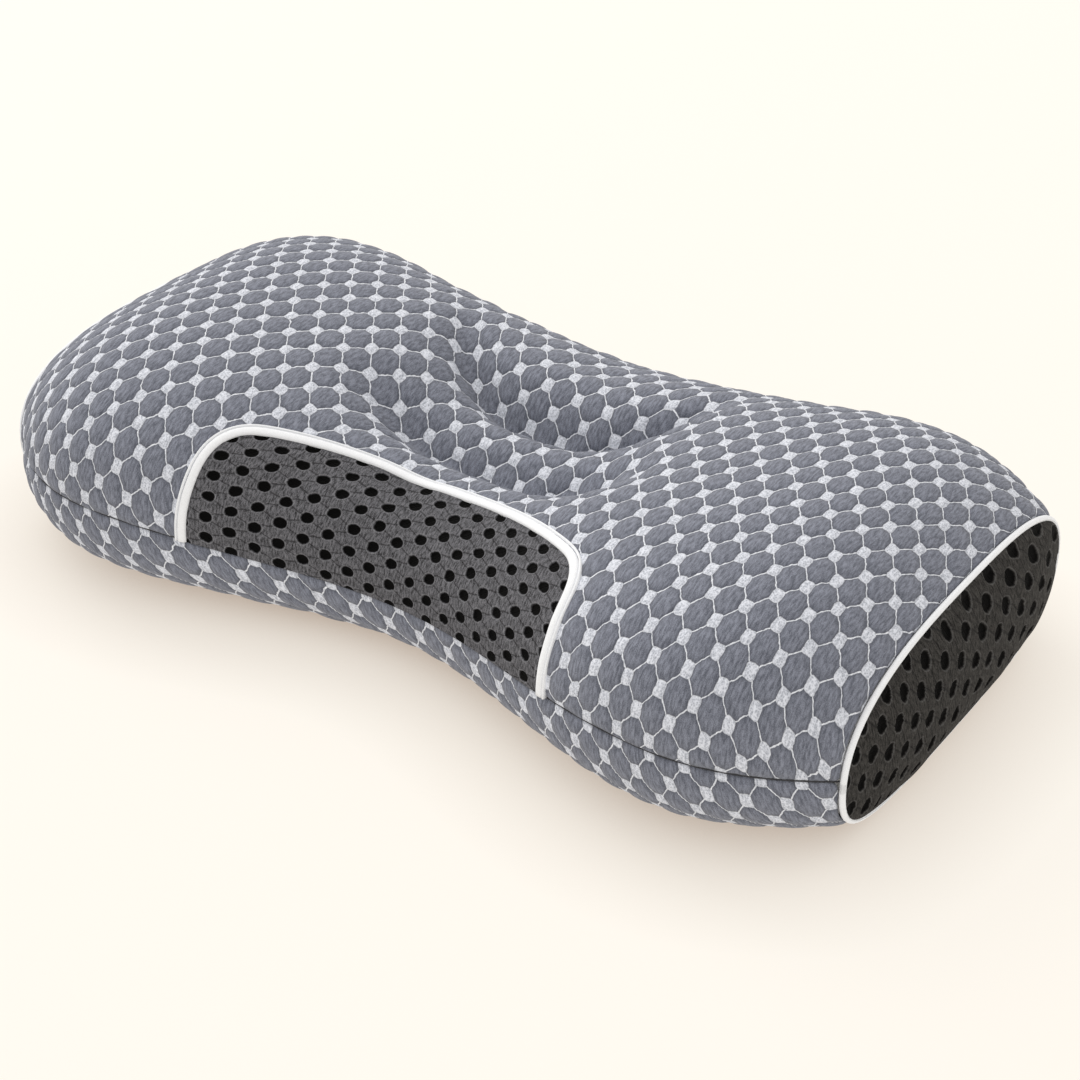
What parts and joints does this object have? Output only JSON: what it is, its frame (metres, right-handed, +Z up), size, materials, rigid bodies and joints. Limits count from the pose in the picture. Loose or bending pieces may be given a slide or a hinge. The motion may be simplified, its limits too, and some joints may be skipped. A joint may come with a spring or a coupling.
{
  "type": "cervical traction pillow",
  "caption": "Hourglass neck pillow with a dished head cradle, raised side lobes, quilted knit cover, mesh panels and a rear zip.",
  "frame": {"origin": "on the resting surface, below the middle of the pillow's length and depth", "axes": "+X along the pillow, -Y towards the neck roll and the front mesh panel, +Z up"},
  "size_m": [0.6, 0.316, 0.136],
  "materials": {
    "quilted_knit": "quilted jacquard knit, heathered grey-blue with pale lattice",
    "front_mesh": "charcoal spacer mesh",
    "end_mesh": "brown-grey spacer mesh",
    "piping": "white piping",
    "liner": "plain woven liner",
    "fill": "short tube granules and fibre",
    "partition": "plain woven wall",
    "zip_tape": "woven tape",
    "zip_coil": "nylon coil",
    "zip_metal": "coated zinc"
  },
  "bodies": {
    "pillow": {"top_cover": "quilted_knit", "bottom_cover": "quilted_knit", "front_mesh_panel": "front_mesh", "left_mesh_gusset": "end_mesh", "right_mesh_gusset": "end_mesh", "front_piping": "piping", "left_piping": "piping", "right_piping": "piping", "liner_top": "liner", "liner_bottom": "liner", "neck_roll_fill": "fill", "head_cradle_fill": "fill", "rear_roll_fill": "fill", "left_bolster_fill": "fill", "right_bolster_fill": "fill", "left_partition": "partition", "right_partition": "partition", "front_partition": "partition", "rear_partition": "partition", "zip_tape_upper": "zip_tape", "zip_tape_lower": "zip_tape", "zip_coil_upper": "zip_coil", "zip_coil_lower": "zip_coil", "zip_stop_left": "zip_metal", "zip_stop_right": "zip_metal"},
    "slider": {"zip_slider": "zip_metal"},
    "pull": {"zip_pull": "zip_metal"}
  },
  "joints": [
    {"name": "zip_slide", "type": "slide", "parent": "pillow", "child": "slider", "axis": [-1, 0, 0], "range_m": [0, 0.222]},
    {"name": "pull_hinge", "type": "hinge", "parent": "slider", "child": "pull", "pos_m": [0.111, 0.1534, 0.056], "axis": [0, 0, 1], "range_deg": [-170, 0]}
  ]
}
